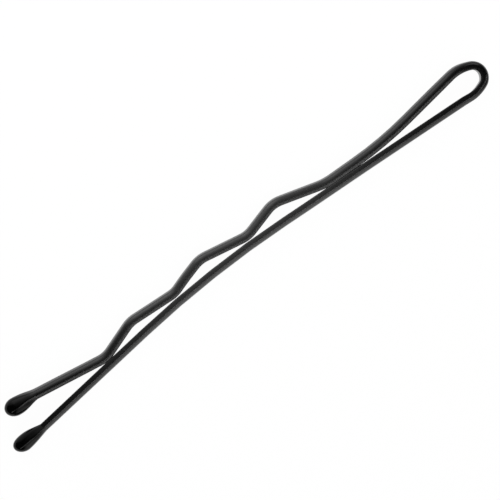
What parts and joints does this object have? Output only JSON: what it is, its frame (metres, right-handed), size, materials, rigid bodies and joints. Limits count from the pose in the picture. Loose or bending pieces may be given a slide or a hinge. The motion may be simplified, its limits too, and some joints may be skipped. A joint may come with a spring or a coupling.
{
  "type": "bobby pin",
  "caption": "Sprung hair pin folded from one half-round wire, with a straight leg, a crimped wavy leg, an open loop and a round resin bead on each tip.",
  "frame": {"origin": "bottom centre of the bounding box of the closed pin, which lies on its side on its two beads", "axes": "+X along the pin from the tips to the loop, +Y from the straight leg towards the wavy leg, +Z across the width of the wire"},
  "size_m": [0.051, 0.0048, 0.0016],
  "materials": {
    "enamel": "glossy black enamel over half-round spring steel wire",
    "resin": "glossy black dipped resin"
  },
  "bodies": {
    "straight_side": {"straight_leg": "enamel", "loop_straight_half": "enamel", "straight_leg_bead": "resin"},
    "wavy_side": {"wavy_leg": "enamel", "loop_wavy_half": "enamel", "wavy_leg_bead": "resin"}
  },
  "joints": [
    {"name": "legs_open", "type": "hinge", "parent": "straight_side", "child": "wavy_side", "pos_m": [0.0255, 0.0006, 0.0008], "axis": [0, 0, -1], "range_deg": [0, 12], "stiffness_Nm_per_rad": 0.28, "springref_deg": -2.86}
  ]
}
